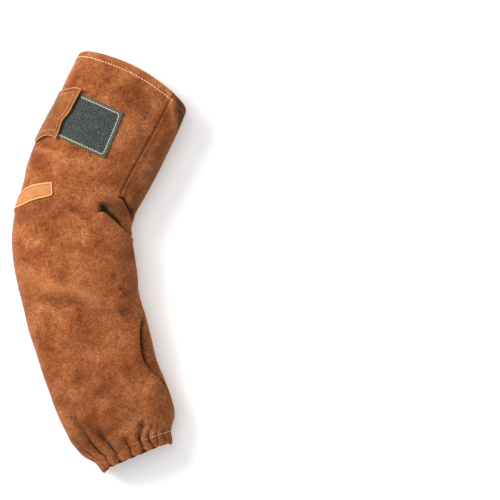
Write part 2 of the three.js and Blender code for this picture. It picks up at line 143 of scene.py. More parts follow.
def cross_section(along):
    """One cross section at 361 turns: across, up and the outward direction."""
    here = np.array([along])
    outer, inner, height, lift = (float(read_table(SECTIONS, column, here)[0]) for column in range(1, 5))
    angle = np.radians(np.arange(0, 361, SECTION_STEP))
    wide = np.sign(np.cos(angle)) * np.abs(np.cos(angle)) ** (2 / ROUNDNESS)
    tall = np.abs(np.sin(angle)) ** (2 / ROUNDNESS)
    side = SIDE_HEIGHT * height
    across = (inner - outer) / 2 + (inner + outer) / 2 * wide
    level = np.where(angle <= math.pi + 1e-9, side + (height - side) * tall,
                     np.maximum(0, side * (1 - FLOOR_SPREAD * tall)))
    up = level + lift * (1 - level / height)
    length = np.concatenate([[0], np.cumsum(np.hypot(np.diff(across), np.diff(up)))])
    wanted = np.linspace(0, length[-1], 361)
    spot = np.interp(wanted, length, np.arange(len(angle)))
    earlier, later = np.maximum(0, spot - CHORD_HALF), np.minimum(len(angle) - 1, spot + CHORD_HALF)
    places = np.arange(len(angle))
    run = np.interp(later, places, across) - np.interp(earlier, places, across)
    rise = np.interp(later, places, up) - np.interp(earlier, places, up)
    chord = np.hypot(run, rise)
    placed = (np.interp(spot, places, across), np.interp(spot, places, up))
    return np.stack([*placed, rise / chord, -run / chord])


FIRST_STATION, LAST_STATION = -24, 528
stations = np.array([cross_section(along) for along in range(FIRST_STATION, LAST_STATION + 1)])


def section_spot(along, turn):
    """Across, up and the outward direction at arrays of places, read between the stations."""
    row = np.clip(along - FIRST_STATION, 0, len(stations) - 1.001)
    column = np.mod(turn, 360)
    low_row, low_column = row.astype(int), np.minimum(column.astype(int), 359)
    down, round_part = row - low_row, column - low_column

    def between_rows(at_column):
        nearer, farther = stations[low_row, :, at_column], stations[low_row + 1, :, at_column]
        return nearer * (1 - down[:, None]) + farther * down[:, None]

    low, high = between_rows(low_column), between_rows(low_column + 1)
    return (low * (1 - round_part[:, None]) + high * round_part[:, None]).T


crown = section_spot(np.array([60.0, 240.0, 505.0]), np.array([91.0, 91.0, 91.0]))[1]
print("heights at upper arm, elbow and cuff in mm:", [round(float(value), 1) for value in crown])

# %% [markdown]
# ## Tucks, dents and gathers
#
# Where the elbow bends, the leather on the inner side has nowhere to go. It sinks into tucks, and the
# wrist side of each tuck folds over the arm side like a shingle. A cloth simulation would find its own
# folds, but not these ones, so each is laid down one by one. A tuck follows a bent line. Leather beside
# it sinks over a ramp, and past the line it rises again while it also slides back over the ramp, which
# gives the overhanging lip. Dents are soft hollows, and gathers are the valleys that the elastic pulls.

# %% Tucks
# start, bend and end as (along, turn), then depth, width of the ramp, width of the lip and height of
# the roll behind it in mm, how far the lip slides over the crease, how wide and how dark the painted shade
# is
TUCKS = (
    ((140.5, 45.5), (157, 32), (206, -2), 16.0, 18, 6, 2.2, 9, 10, 1.0),
    ((174, 64), (183, 38), (236, 4), 17.0, 26, 7, 3.0, 10, 12, 1.0),
    ((206, 15), (236, 12), (268, 17), 3.0, 10, 4, 0.4, 2.5, 4, 0.6),
    ((300, 43), (316, 33), (345, 10), 4.5, 16, 5, 2.6, 5, 5, 0.0),
    ((326, 12), (400, 62), (440, 8), 9.0, 22, 4, 1.5, 7, 13, 0.7),
)
TUCK_FADE = 0.16
RAMP_CURVE = 2.4
MM_PER_DEGREE = 1.05


def tuck_line(start, bend, end, steps=28):
    """Points in mm on a bent line from start to end, drawn toward bend."""
    share = np.linspace(0, 1, steps + 1)[:, None]
    places = [np.array((along, turn * MM_PER_DEGREE)) for along, turn in (start, bend, end)]
    return (1 - share) ** 2 * places[0] + 2 * share * (1 - share) * places[1] + share**2 * places[2]


def distance_to_line(line, along, turn):
    """Signed distance to a bent line, over 0 on its left, the share passed and the way to the left."""
    here = np.stack([along, turn * MM_PER_DEGREE], axis=1)
    best = np.full(len(along), np.inf)
    gap, share, way = np.zeros(len(along)), np.zeros(len(along)), np.zeros((len(along), 2))
    for index in range(len(line) - 1):
        step = line[index + 1] - line[index]
        offset = here - line[index]
        t = np.clip(offset @ step / (step @ step), 0, 1)
        size = np.linalg.norm(offset - t[:, None] * step, axis=1)
        side = np.sign(step[0] * offset[:, 1] - step[1] * offset[:, 0])
        nearer = size < best
        best[nearer] = size[nearer]
        gap[nearer] = (side * size)[nearer]
        share[nearer] = ((index + t) / (len(line) - 1))[nearer]
        way[nearer] = np.array((-step[1], step[0])) / np.linalg.norm(step)
    return gap, share, way


def tuck_shape(along, turn):
    """Rise in mm, slide as (along, turn) and painted shade of the tucks, with a painted highlight on each
    lip.
    """
    near_turn = np.where(turn > 200, turn - 360, turn)
    rise, slide, dark = np.zeros(len(along)), np.zeros((len(along), 2)), np.zeros(len(along))
    for start, bend, end, depth, ramp, lip, roll, overlap, shade_width, shade in TUCKS:
        gap, share, way = distance_to_line(tuck_line(start, bend, end), along, near_turn)
        ends = smooth(share / TUCK_FADE) * smooth((1 - share) / TUCK_FADE)
        sunk = np.where(gap < 0, np.maximum(0, 1 + gap / ramp) ** RAMP_CURVE, smooth(1 - gap / lip))
        rise += ends * (roll * bell(gap - lip - 5, 7) - depth * sunk)
        slide -= (ends * overlap * bell(gap - lip - 1.5, lip * 0.9 + 2))[:, None] * way
        # painted shade: the crease is painted dark beside the lip, widest near its start
        wide = shade_width * (1 - 0.5 * smooth((share - 0.4) / 0.4))
        shaded = smooth((gap + wide) / (wide * 0.4)) * smooth(1 - (gap - 2) / 3)
        shade_ends = smooth((share - 0.03) / 0.12) * smooth((1 - share) / 0.08)
        dark = np.maximum(dark, shade_ends * shade * shaded)
        # painted highlight along the lit lip
        dark -= 0.3 * ends * bell(gap - lip - 1, 3)
    slide[:, 1] /= MM_PER_DEGREE
    return rise, slide, dark


depths = [depth for start, bend, end, depth, *widths in TUCKS]
print("tucks:", len(TUCKS), "deepest", max(depths), "mm")

# %% Dents and swells
# along, turn, reach along the arm, spread round it, swing in degrees, depth (a swell has under 0), painted
# shade
# a painted shade under 0 paints a highlight; rows without depth paint shade on the inner flank and darken
# and pale broad patches
DENTS = (
    (16, 77, 9, 15, 30, 1.6, 0.15),
    (52, 56, 4, 10, 32, 3.4, 0.4),
    (24, 57, 12, 6, 14, 1.4, 0.2),
    (84, 38, 34, 13, 0, 0.8, 0.15),
    (80, 3, 70, 20, 0, 0.0, 0.4),
    (20, 85, 30, 60, 0, 0.0, 0.12),
    (95, 52, 55, 26, 0, 0.0, 0.22),
    (66, 34, 45, 5, 0, 0.0, -0.3),
    (121, 151, 4, 18, -12, 2.0, 0.35),
    (129.5, 150, 3.5, 18, -12, -1.2, -0.25),
    (166, 59, 5, 5, 0, 4.0, 0.6),
    (170, 57, 5.5, 5.5, 0, 1.5, 0.8),
    (158, 50, 9, 10, 0, 0.0, 0.45),
    (166, 36, 12, 13, 0, -2.0, 0.4),
    (160, 18, 10, 8, 0, 2.0, 0.8),
    (174, 14, 9, 6, 0, 1.0, 0.6),
    (186, 110, 11, 42, 0, 3.4, 0.22),
    (215, 62, 30, 30, 0, -2.2, 0.0),
    (250, 5, 60, 14, 0, 0.0, 0.25),
    (278, 117, 9, 44, 24, -2.4, -0.3),
    (297, 105, 9, 46, 20, 3.2, 0.25),
    (285, 44, 6, 6, 0, 2.8, 0.35),
    (331, 49, 4, 21, 19, 2.4, 0.4),
    (455, 50, 30, 35, 0, 0.0, -0.04),
    (450, 95, 42, 70, 0, 0.0, 0.1),
    (358, 126, 8, 22, 0, 2.2, 0.25),
    (402, 14, 32, 9, 0, 0.0, 0.3),
    (398, 120, 9, 16, 0, 1.6, 0.25),
    (424, 96, 9, 22, 0, 1.8, 0.2),
    (474, 100, 7, 18, 0, 2.0, 0.3),
    (479, 63, 7, 4, -35, 2.6, 0.55),
    (480, 121, 10, 5, -12, 2.4, 0.45),
    (455, 149, 45, 11, 0, 0.0, 0.22),
    (487, 40, 3, 3.5, 60, 1.6, 0.4),
    (485, 49, 3, 3.5, 60, 1.6, 0.4),
)


def dent_shape(along, turn):
    """Rise in mm and painted shade of the dents and swells; a shade under 0 paints a highlight."""
    rise, dark = np.zeros(len(along)), np.zeros(len(along))
    for place, round_place, reach, spread, swing, depth, shade in DENTS:
        tilt = math.radians(swing)
        down, round_off = along - place, (turn - round_place) * MM_PER_DEGREE
        along_part = down * math.cos(tilt) + round_off * math.sin(tilt)
        round_part = round_off * math.cos(tilt) - down * math.sin(tilt)
        here = bell(along_part, reach) * bell(round_part, spread)
        rise -= depth * here
        # painted shade in each hollow; a shade under 0 paints a highlight
        dark += shade * here
    return rise, dark


# start, bend and end as (along, turn), height, width and the painted shade of the side under the ridge
CORNER_FOLD = ((-14, 46), (8, 28), (50, 5), 3.0, 4.5, 0.62)


def corner_fold_shape(along, turn):
    """The hem's inner corner is pinched to a ridge; the ridge gets a painted highlight, and the leather
    under it faces away and is painted dark as shade.
    """
    near_turn = np.where(turn > 200, turn - 360, turn)
    start, bend, end, height, width, shade = CORNER_FOLD
    gap, share, _ = distance_to_line(tuck_line(start, bend, end), along, near_turn)
    ends = smooth((1 - share) / 0.35)
    rise = ends * height * (bell(gap, width) - 0.9 * bell(gap + 2.2 * width, 1.2 * width))
    # painted shade under the ridge and a painted highlight along it
    dark = ends * (shade * smooth(-gap / 9) * smooth((near_turn + 30) / 25) - 0.4 * bell(gap - 2, 3.5))
    return rise, dark


print("dents and swells:", len(DENTS))

# %% Gathers at the elastic
# turn at the stitch row, how much further round it starts, where along the arm it starts, how much
# further round it ends, depth, width
GATHERS = (
    (5, 2, 482, 2, 3.0, 4),
    (26, 6, 486, -3, 2.6, 4),
    (40, -4, 484, 3, 2.0, 3),
    (54, -1, 483, -3, 4.4, 4),
    (69.5, -9, 468, 2, 7.0, 4.5),
    (91, 0, 482, 5, 4.6, 4),
    (116.5, 9, 455, 6, 6.4, 5),
    (139.5, 13, 385, 5, 5.4, 5.5),
    (157, 3, 452, 1, 3.6, 5),
    (174, 3, 470, 2, 3.4, 5),
    (192, 3, 474, -2, 2.8, 5),
    (210, -4, 466, 2, 3.0, 5),
    (231, 4, 480, -2, 2.4, 4),
    (253, -2, 474, 2, 2.6, 4),
    (275, 3, 480, -2, 2.4, 4),
    (297, -4, 472, 2, 2.6, 4),
    (319, 3, 478, -2, 2.6, 4),
    (341, -2, 470, 2, 3.2, 5),
)
CUFF_STITCH = 501.3
CUFF_MM_PER_DEGREE = 0.82


def gather_shape(along, turn):
    """Rise, painted shade and pull up the arm: broad where a gather starts, a narrow slit at the elastic."""
    rise, dark, pull = np.zeros(len(along)), np.zeros(len(along)), np.zeros(len(along))
    for place, drift, start, kink, depth, width in GATHERS:
        grown = smooth(np.clip((along - start) / (CUFF_STITCH - 4 - start), 0, 1) ** 1.6)
        in_channel = smooth((along - CUFF_STITCH) / 12)
        centre = place + drift * (1 - grown) ** 1.5 + kink * in_channel
        gap = (np.mod(turn - centre + 180, 360) - 180) * CUFF_MM_PER_DEGREE
        slit = bell(gap, 1.2 + 3.4 * (1 - grown)) * (0.12 + 0.88 * grown**2)
        early = smooth((along - start) / (0.5 * (CUFF_STITCH - start)))
        broad = early * bell(gap, width * (1.4 - 0.6 * grown))
        share = grown * (1 - 0.25 * in_channel)
        pull += in_channel * (0.75 * depth * bell(gap, width * 0.7))
        rise -= depth * (0.5 * broad * (1 - 0.25 * in_channel) + 0.55 * share * slit)
        beside = bell(gap - width * 1.5, width * 0.8) + bell(gap + width * 1.5, width * 0.8)
        rise += grown * 0.16 * depth * beside
        # painted shade in the valleys of the gathers
        shadow = share * (1 - 0.2 * in_channel) * slit + 0.16 * broad
        dark = np.maximum(dark, min(1, depth / 4.5) * shadow)
    # the elastic's channel is painted lighter, as a painted highlight on its puffed leather
    channel_painted_highlight = 0.14 * smooth((along - CUFF_STITCH + 8) / 8)
    return rise, dark - channel_painted_highlight, pull


print("gathers:", len(GATHERS))

# %% The long seam
# along, turn
SEAM_LINE = np.array([
    (-20, 39), (-7, 40), (20, 41.5), (57, 44), (81, 45), (107, 45.5), (122, 45.3), (136, 44.6), (150, 38),
    (180, 16), (240, 3), (300, 4), (335, 13), (378, 32), (403, 30), (430, 15), (470, 6), (524, 4),
], float)
SEAM_DEPTH = 1.5
SEAM_ROUNDING = 0.5
# in the elbow's bend the seam is pressed nearly flat
SEAM_FLAT_FROM, SEAM_FLAT_TO = 150, 330


def seam_shape(along, turn):
    """The pull of the seam's thread sinks the leather on the line and rounds it beside the line."""
    gap = (np.mod(turn - read_table(SEAM_LINE, 1, along) + 180, 360) - 180) * MM_PER_DEGREE
    shown = 1 - 0.75 * smooth((along - SEAM_FLAT_FROM) / 30) * smooth((SEAM_FLAT_TO - along) / 30)
    rise = shown * (SEAM_ROUNDING * bell(np.abs(gap) - 3.2, 2.2) - SEAM_DEPTH * bell(gap, 0.95))
    return rise, shown * bell(gap, 0.8)


print("seam starts at turn", SEAM_LINE[0, 1])

# %% [markdown]
# ## Any point on the leather
#
# Now the parts come together. The plain section gives a point, the middle line turns it into the room,
# and the tucks, dents, gathers and seam move it along its outward direction. Leather that rests on the
# table can't move, so all relief fades out near the table. A little unevenness stops the form from
# looking turned on a lathe.

# %% Place a point on the leather
UNEVENNESS = 0.55
UNEVEN_ALONG = 0.022
UNEVEN_ROUND = 1.9
# relief starts this far above the table, and is whole this much higher
RESTING = 0.5
FREE_RISE = 9


def uneven(along, turn):
    """A soft rise and fall in mm, large and small, that never repeats."""
    level = np.zeros(len(along))
    for index in range(len(along)):
        angle = math.radians(turn[index])
        spot = Vector((along[index] * UNEVEN_ALONG, math.cos(angle) * UNEVEN_ROUND,
                       math.sin(angle) * UNEVEN_ROUND))
        level[index] = UNEVENNESS * noise.noise(spot) + 0.3 * UNEVENNESS * noise.noise(spot * 3.1)
    return level


def skin(along, turn, rise=0.0):
    """Points in metres on the leather, the painted shade at each (under 0 a painted highlight), and how near
    the seam.
    """
    along, turn = np.broadcast_arrays(np.asarray(along, float), np.asarray(turn, float))
    shape = along.shape
    along, turn = along.ravel(), turn.ravel()
    tuck, slide, tuck_painted_shade = tuck_shape(along, turn)
    gather, gather_painted_shade, pull = gather_shape(along, turn)
    dent, dent_painted_shade = dent_shape(along, turn)
    corner, corner_painted_shade = corner_fold_shape(along, turn)
    seam, seam_dark = seam_shape(along, turn)
    free = smooth((section_spot(along, turn)[1] - RESTING) / FREE_RISE)
    placed_along, placed_turn = along + free * (slide[:, 0] - pull), turn + free * slide[:, 1]
    across, up, out_across, out_up = section_spot(placed_along, placed_turn)
    x, y, side_x, side_y = middle_line(placed_along)
    out = free * (tuck + dent + gather + corner + seam + uneven(along, turn)) + np.ravel(rise)
    across = across + out_across * out
    up = np.maximum(0, up + out_up * out)
    points = np.stack([x + side_x * across, y + side_y * across, up], axis=1) * MM
    # painted shade from the tucks, gathers, dents and corner fold; under 0 it is a painted highlight
    dark = free * (np.maximum(tuck_painted_shade, gather_painted_shade) + dent_painted_shade + corner_painted_shade)
    return points.reshape(shape + (3,)), dark.reshape(shape), (free * seam_dark).reshape(shape)


sample = skin(np.array([60.0, 186.0]), np.array([110.0, 110.0]))[0]
print("two points on top in mm:", np.round(sample / MM, 1).tolist())

# %% Lean of the hem and slant of the cuff
HEM_LEAN = 0.417
HEM_SLANT = -0.02
HEM_CROWN = 3.5
HEM_CROWN_WIDTH = 45
HEM_LEAN_REACH = 90.0
CUFF_DRAW = 5.5
CUFF_SLANT = 0.1
CUFF_SLANT_REACH = 60.0


def ring_place(ring, turn):
    """Where a ring of the leather crosses a turn, because the two ends are not cut square."""
    across, up = section_spot(ring, turn)[:2]
    height = read_table(SECTIONS, 3, ring)
    risen = (up - SIDE_HEIGHT * height) / (height * (1 - SIDE_HEIGHT))
    hem_share = np.maximum(0, 1 - ring / HEM_LEAN_REACH) ** 2
    cuff_share = np.maximum(0, 1 - (SLEEVE_LENGTH - ring) / CUFF_SLANT_REACH) ** 2
    crown_part = HEM_CROWN * bell(across, HEM_CROWN_WIDTH) * np.maximum(0, risen)
    hem_shift = HEM_LEAN * (up - SIDE_HEIGHT * height) + HEM_SLANT * across + crown_part
    return ring - hem_shift * hem_share - (CUFF_DRAW * np.abs(risen) + CUFF_SLANT * across) * cuff_share


hem_top = ring_place(np.array([0.0]), np.array([91.0]))
print("the hem's crown lies", round(-float(hem_top[0]), 1), "mm above its corners")

# %% [markdown]
# ## The leather tube
#
# The panel could be modelled flat and rolled up with cloth tools. Here a grid stands for it: one way
# runs round the arm and the other runs down it. The grid's first rows lie inside the tube, turn round
# the hem's fold and go down the outside, and its last rows turn in again at the cuff, as the sewn
# leather does. The two long edges meet and are merged. Normals are recalculated before the wall gets
# its thickness, so it grows inwards everywhere.

# %% Walk from the hem's raw edge to the end of the cuff's channel
WALL = 1.5
HEM_DEPTH = 9.0
COLUMNS = 232


def turned_edge(ring_end, depth, inward, rows, sign):
    """Ring and rise of rows that come up inside an edge and turn round it to the outside."""
    radius = inward / 2
    flat = np.linspace(depth, radius, rows)[:-1]
    arc = np.linspace(-90, 90, 7)
    ring = np.concatenate([flat, radius - radius * np.cos(np.radians(arc))])
    rise = np.concatenate([np.full(len(flat), -inward), -radius + radius * np.sin(np.radians(arc))])
    return ring_end + sign * ring, rise


hem_ring, hem_rise = turned_edge(0.0, HEM_DEPTH, 2 * WALL + 0.3, 5, 1)
cuff_ring, cuff_rise = turned_edge(SLEEVE_LENGTH, SLEEVE_LENGTH - CUFF_STITCH - 0.6, 2 * WALL + 1.2, 7, -1)
# stretches of the outside: from, to, spacing of the rows
STRETCHES = ((1.65, 12, 2.0), (12, 126, 5.2), (126, 236, 2.1), (236, 290, 3.8), (290, 350, 2.8),
             (350, 452, 4.2), (452, 516.9, 1.55))
outside = [np.array([])]
for low, high, spacing in STRETCHES:
    count = round((high - low) / spacing)
    outside.append(np.linspace(low, high, count + 1)[1:])
outside = np.concatenate(outside)[:-1]
walk_ring = np.concatenate([hem_ring, outside, cuff_ring[::-1]])
walk_rise = np.concatenate([hem_rise, np.zeros(len(outside)), cuff_rise[::-1]])
print("rows down the arm:", len(walk_ring), "columns round it:", COLUMNS)

# %% Helpers for meshes
INSIDE_THE_TUBE = Vector((0.0, 0.1, 0.03))


def new_object(name, bm):
    """Turn a mesh that is being edited into an object of the scene."""
    mesh = bpy.data.meshes.new(name)
    bm.to_mesh(mesh)
    bm.free()
    piece = bpy.data.objects.new(name, mesh)
    bpy.context.scene.collection.objects.link(piece)
    mesh.shade_smooth()
    return piece


def start_grid(columns, rows):
    """A flat grid of points, with the share u across it and v down it for each point."""
    bm = bmesh.new()
    bmesh.ops.create_grid(bm, x_segments=columns, y_segments=rows, size=0.5)
    flat = np.array([vert.co[:2] for vert in bm.verts])
    low, high = flat.min(axis=0), flat.max(axis=0)
    shares = (flat - low) / (high - low)
    return bm, shares[:, 0], shares[:, 1]


def turn_outward(bm):
    """Point the faces away from a place inside the tube, for a sheet that isn't closed."""
    bmesh.ops.recalc_face_normals(bm, faces=bm.faces)
    face = max(bm.faces, key=lambda item: item.calc_center_median().z)
    if face.normal.dot(face.calc_center_median() - INSIDE_THE_TUBE) < 0:
        bmesh.ops.reverse_faces(bm, faces=bm.faces)


print("the faces will look away from", tuple(round(part, 2) for part in INSIDE_THE_TUBE))

# %% Make the tube
# share of the columns, and the turn reached there: the top has more columns than the underside
COLUMN_SHARES = (0, 0.08, 0.8, 1)
COLUMN_TURNS = (-20, 5, 195, 340)
PALE_END_REACH = 2.0
INSIDE_RISE = -2.0
bm, column_share, walk_share = start_grid(COLUMNS, len(walk_ring) - 1)
steps = np.arange(len(walk_ring)) / (len(walk_ring) - 1)
ring = np.interp(walk_share, steps, walk_ring)
rise = np.interp(walk_share, steps, walk_rise)
turn = np.interp(column_share, COLUMN_SHARES, COLUMN_TURNS)
places, dark, seam_dark = skin(ring_place(ring, turn), turn, rise)
from_edge = np.minimum(ring, SLEEVE_LENGTH - ring)
# the outside is painted paler within a few millimetres of the folded ends
pale_rim = np.where(rise > INSIDE_RISE, np.exp(-from_edge / PALE_END_REACH), 0.0)
# the fold layer keeps the painted shade and painted highlight that skin gives each point
painted_shade_layer = bm.verts.layers.float.new("fold")
seam_layer = bm.verts.layers.float.new("seam")
edge_layer = bm.verts.layers.float.new("edge")
for vert, place, fold, seam, edge in zip(bm.verts, places, dark, seam_dark, pale_rim):
    vert.co = place
    vert[painted_shade_layer] = fold
    vert[seam_layer] = seam
    vert[edge_layer] = edge
bmesh.ops.remove_doubles(bm, verts=bm.verts, dist=1e-6)
turn_outward(bm)
print("tube points:", len(bm.verts), "faces:", len(bm.faces))
tube = new_object("sleeve_leather", bm)
wall = tube.modifiers.new("leather wall", "SOLIDIFY")
wall.thickness = WALL * MM
wall.offset = -1
wall.use_quality_normals = True
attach(tube, "root")
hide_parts("sleeve_shell")

# %% [markdown]
# ## The sewn pieces
#
# The loop patch, the hook strip, the closing tab and the label are flat pieces laid on the tube. Each
# is again a grid that follows the leather at a small rise. A Solidify modifier gives the thickness,
# with a second material on the rim where leather shows its paler cut edge. A Bevel would round the rim,
# but these edges are cut with a knife and stay crisp.

# %% Lay a piece on the leather
# rise over the leather in mm, and the air between two pieces that lie on each other
SEAT = 0.45
BETWEEN = 0.4


def run_length(points):
    """How far each point of a path lies from the path's start."""
    return np.concatenate([[0], np.cumsum(np.linalg.norm(np.diff(points, axis=0), axis=1))])


def lay_piece(name, columns, rows, thickness, place):
    """place takes arrays of u and v, from 0 to 1 over the piece, and gives along, turn and rise."""
    bm, u, v = start_grid(columns, rows)
    along, turn, rise = place(u, v)
    points = skin(along, turn, rise)[0]
    line, half = np.linspace(0, 1, 80), np.full(80, 0.5)
    middle_lines = [skin(*place(line, half))[0], skin(*place(half, line))[0]]
    width, length = (run_length(run)[-1] / MM for run in middle_lines)
    inset = np.minimum(np.minimum(u, 1 - u) * width, np.minimum(v, 1 - v) * length)
    inset_layer = bm.verts.layers.float.new("inset_mm")
    for vert, point, inset_here in zip(bm.verts, points, inset):
        vert.co = point
        vert[inset_layer] = inset_here
    turn_outward(bm)
    print(name, "is", round(width, 1), "by", round(length, 1), "mm, with", len(bm.faces), "faces")
    piece = new_object(name, bm)
    body = piece.modifiers.new("thickness", "SOLIDIFY")
    body.thickness = thickness * MM
    body.offset = 1
    body.material_offset_rim = 1
    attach(piece, "root")
    return piece


# top and bottom are places along the arm, near and far are turns
LOOP = {"top": 40.0, "bottom": 103.0, "near": 84.5, "far": 149.0, "skew": 4.0, "slope": 3.5, "thick": 1.7}


def loop_place(u, v):
    """The square patch was sewn on a little askew."""
    along = LOOP["top"] + (LOOP["bottom"] - LOOP["top"]) * v + LOOP["slope"] * u
    turn = LOOP["near"] + (LOOP["far"] - LOOP["near"]) * u - LOOP["skew"] * v * (1 - u)
    return along, turn, SEAT + 0 * u


loop_patch = lay_piece("loop_fabric_patch", 60, 56, LOOP["thick"], loop_place)
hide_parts("loop_patch")

# free and root are the turns where the tab ends, slide is how far a piece moves down the arm on its way
# round, and shown is how far the strip comes out under the tab
TAB = {"free": 140.0, "root": 206.0, "top": 37.0, "bottom": 109.5, "slide": 15.0, "thick": 1.7,
       "bow": 3.5, "curl": 2.6}
# the hook tape is real; the dark line it shows past the tab's free edge also stands in for the tab's shadow
# on the patch
HOOK = {"top": 44.0, "bottom": 102.0, "shown": 2.0, "far": 159.0, "slide": 8.0, "thick": 1.0}


def tab_wave(v):
    """How far the tab's free edge strays from a straight cut, in degrees, from its top to its bottom."""
    return 3.3 * bell(v - 0.66, 0.16) + 0.9 * bell(v - 0.3, 0.14) - 1.5 * (1 - v)


def hook_place(u, v):
    """The strip follows the tab's free edge and shows a little beyond it, a dark line that also stands in
    for the tab's shadow.
    """
    along = HOOK["top"] + (HOOK["bottom"] - HOOK["top"]) * v + HOOK["slide"] * u
    near = TAB["free"] + tab_wave(0.1 + 0.8 * v) - HOOK["shown"]
    return along, near + (HOOK["far"] - near) * u, SEAT + LOOP["thick"] + BETWEEN + 0 * u


hook_patch = lay_piece("hook_strip", 10, 30, HOOK["thick"], hook_place)
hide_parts("hook_patch")

# %% Closing tab and label
def tab_place(u, v):
    """The tab slides toward the wrist as it goes round, and its free corner curls up."""
    slid = TAB["slide"] * smooth(u * 2)
    bow = TAB["bow"] * np.sin(math.pi * np.minimum(1, u * 2.6)) * v
    top, bottom = TAB["top"] + slid, TAB["bottom"] + slid - bow
    raised = 1 - smooth((u - 0.26) / 0.3)
    on_top = SEAT + LOOP["thick"] + HOOK["thick"] + 2 * BETWEEN
    curl = TAB["curl"] * bell(u, 0.16) * (0.35 + 0.65 * bell(v, 0.35) + 0.25 * bell(v - 1, 0.2))
    turn = TAB["free"] + tab_wave(v) * (1 - u) + (TAB["root"] - TAB["free"]) * u
    return top + (bottom - top) * v, turn, SEAT + (on_top - SEAT) * raised + curl


closing_tab = lay_piece("closing_tab_leather", 84, 80, TAB["thick"], tab_place)
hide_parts("closing_tab")

LABEL = {"end": 124.0, "hidden": 194.0, "along": 163.2, "slope": 0.47, "width": 14.0, "thick": 1.4,
         "round": 0.06, "bow": 3.0, "level": 10.0}


def label_place(u, v):
    """A slanting, bowed strip with rounded corners at its shown end; it levels off as it goes under."""
    corner = np.clip((LABEL["round"] - u) / LABEL["round"], 0, 1)
    fullness = 1 + 0.08 * bell(u - 0.4, 0.25) - 0.2 * smooth((u - 0.45) / 0.35)
    across = (v - 0.5) * LABEL["width"] * fullness * (1 - 0.16 * corner**2.5)
    turn = LABEL["end"] + (LABEL["hidden"] - LABEL["end"]) * u
    levelled = LABEL["bow"] * bell(u - 0.36, 0.2) + LABEL["level"] * smooth((turn - 160) / 34)
    climb = LABEL["slope"] * (turn - LABEL["end"] - levelled)
    return LABEL["along"] + climb + across, turn - 0.35 * across, SEAT + 0 * u


label = lay_piece("plain_label", 80, 28, LABEL["thick"], label_place)
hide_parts("label_patch")

# %% [markdown]
# ## Stitches
#
# A row of stitches could be a picture on the leather, but each stitch really is a short thread that
# lies proud and dips at its ends. One small rounded capsule is made from a sphere and is then copied
# along each row. A row follows the same places on the leather, so it bends with every fold.

# %% Sew a row of stitches
STITCH_DIP = 0.35


def sew_row(name, along, turn, rise, pitch, thread, length_share=0.74, wander=0.0):
    """Capsules along a path on the leather; along, turn and rise are arrays of places on the path."""
    points = skin(along, turn, rise)[0]
    over = skin(along, turn, rise + 1.0)[0] - points
    lengths = run_length(points)

    def read_path(values, at):
        return Vector([np.interp(at, lengths, values[:, axis]) for axis in range(3)])

    count = max(2, round(lengths[-1] / (pitch * MM)))
    radius = thread * MM / 2
    bm = bmesh.new()
    for index in range(count):
        low = (index + (1 - length_share) / 2) * lengths[-1] / count
        high = (index + (1 + length_share) / 2) * lengths[-1] / count
        first, last = read_path(points, low), read_path(points, high)
        above = read_path(over, (low + high) / 2).normalized()
        run = (last - first).normalized()
        side = above.cross(run).normalized()
        shift = wander * MM * (1 if index % 2 else -1)
        half = (last - first).length / 2
        centre = (first + last) / 2
        for vert in bmesh.ops.create_icosphere(bm, subdivisions=1, radius=radius)["verts"]:
            far = vert.co.x / radius
            sideways = vert.co.y + shift * far
            upward = vert.co.z - STITCH_DIP * thread * MM * far * far
            vert.co = centre + run * (far * half) + side * sideways + above * upward
            vert.co.z = max(0.0, vert.co.z)
    print(name, "stitches:", count)
    row = new_object(name, bm)
    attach(row, "root")
    return row


# %% Stitches of the hem and the cuff
HEM_STITCH = 7.2
all_round = np.linspace(0, 360, 500)
# past the seam the hem's thread is drawn into the nap, and at the cuff it comes out again and again
hem_sunk = 0.65 * smooth((all_round - 330) / 20) + 0.65 * smooth((40 - all_round) / 5)
hem_along = ring_place(np.full(500, HEM_STITCH), all_round)
hem_row = sew_row("hem_stitches", hem_along, all_round, 0.25 - hem_sunk,
                  pitch=4.0, thread=1.5, length_share=1.0)
cuff_wave = 0.55 - 0.3 * np.sin(all_round * 0.35) + 0.45 * smooth((all_round - 92) / 18)
cuff_sunk = smooth((all_round - 48) / 14) * cuff_wave
cuff_along = ring_place(np.full(500, CUFF_STITCH), all_round)
cuff_row = sew_row("cuff_stitches", cuff_along, all_round, 0.3 - cuff_sunk, pitch=3.2, thread=1.2)

# %% Stitches of the patch and the tab
# each corner of a row as shares (u, v) of its piece
PATCH_CORNERS = ((0.92, 0.055), (0.055, 0.055), (0.055, 0.945), (0.92, 0.945))
TAB_CORNERS = ((0.97, 0.1), (0.075, 0.1), (0.06, 0.88), (0.97, 0.88))


def border(place, corners, rise, steps=60):
    """Path on a laid piece through corners given as (u, v)."""
    u = np.concatenate([np.linspace(a[0], b[0], steps) for a, b in zip(corners, corners[1:])])
    v = np.concatenate([np.linspace(a[1], b[1], steps) for a, b in zip(corners, corners[1:])])
    along, turn, low = place(u, v)
    return along, turn, low + rise


patch_path = border(loop_place, PATCH_CORNERS, LOOP["thick"] + 0.2)
patch_row = sew_row("patch_stitches", *patch_path, pitch=3.7, thread=1.4, length_share=1.12, wander=0.35)
tab_path = border(tab_place, TAB_CORNERS, TAB["thick"] + 0.15)
tab_row = sew_row("tab_stitches", *tab_path, pitch=3.3, thread=1.25, length_share=0.8)

# %% [markdown]
# ## Surfaces
#
# Split leather is leather without its grain: a matte nap of short fibres, with soft light and dark
# clouds where the nap lies one way or the other. A picture of suede would slide over the folds, so the
# clouds and the nap come from noise in the object's own space. The fold value stored on the points
# paints shade into the creases and onto the side turned from the light and paints highlights on lit
# lips and ridges; the seam value darkens the seam, and the edge value pales the folded ends.

